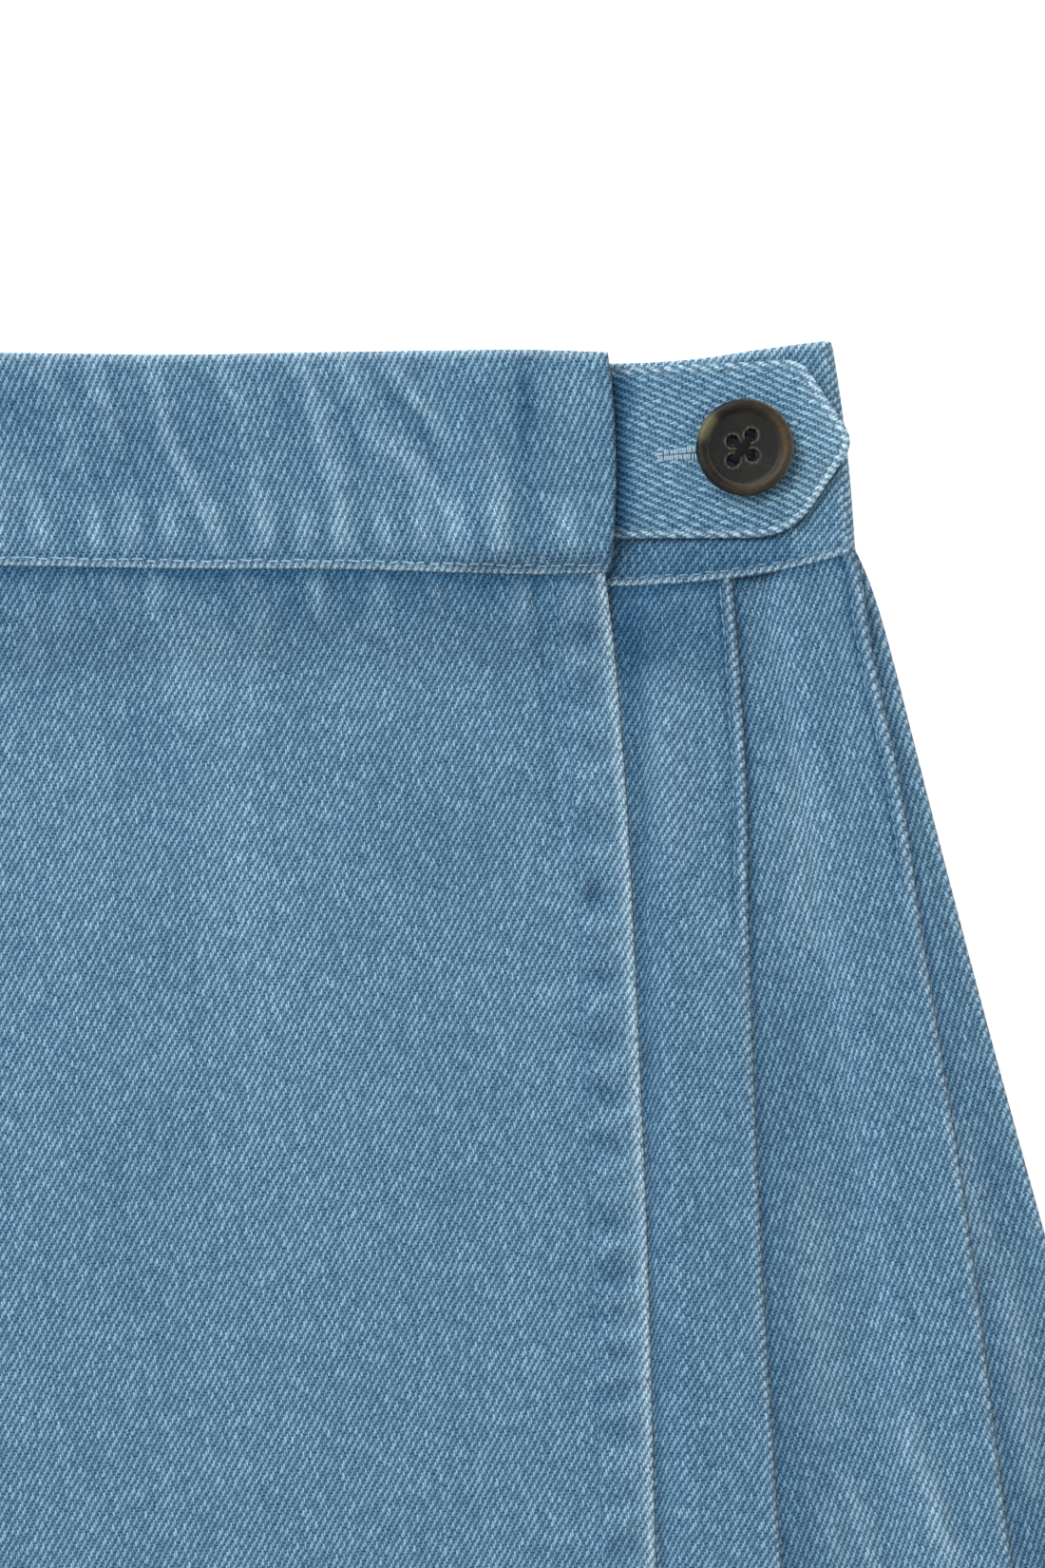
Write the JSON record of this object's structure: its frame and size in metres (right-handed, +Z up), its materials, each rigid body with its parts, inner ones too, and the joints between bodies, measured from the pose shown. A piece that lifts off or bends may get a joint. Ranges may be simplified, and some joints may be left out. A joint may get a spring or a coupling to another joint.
{
  "type": "denim wrap skirt laid flat",
  "caption": "Light-blue denim wrap mini skirt with knife pleats beside the wrap, a straight waistband and a buttoned waist tab, laid flat.",
  "frame": {"origin": "middle of the skirt's outline, on the surface that it lies on", "axes": "+X towards the buttoned side, +Y from hem to waist, +Z up from the surface"},
  "size_m": [0.5474, 0.4021, 0.0097],
  "materials": {
    "denim": "washed light-blue twill, matt, slightly puckered along its seams",
    "tab_denim": "the same twill turned across the grain",
    "horn": "dark mottled imitation horn, satin",
    "button_sewing": "dark sewing thread"
  },
  "bodies": {
    "root": {"back_panel": "denim", "back_waistband": "denim", "underlap_panel": "denim", "underlap_waistband": "denim", "front_panel": "denim", "front_waistband": "denim", "waist_tab": "tab_denim", "button": "horn", "button_thread": "button_sewing"}
  },
  "joints": []
}
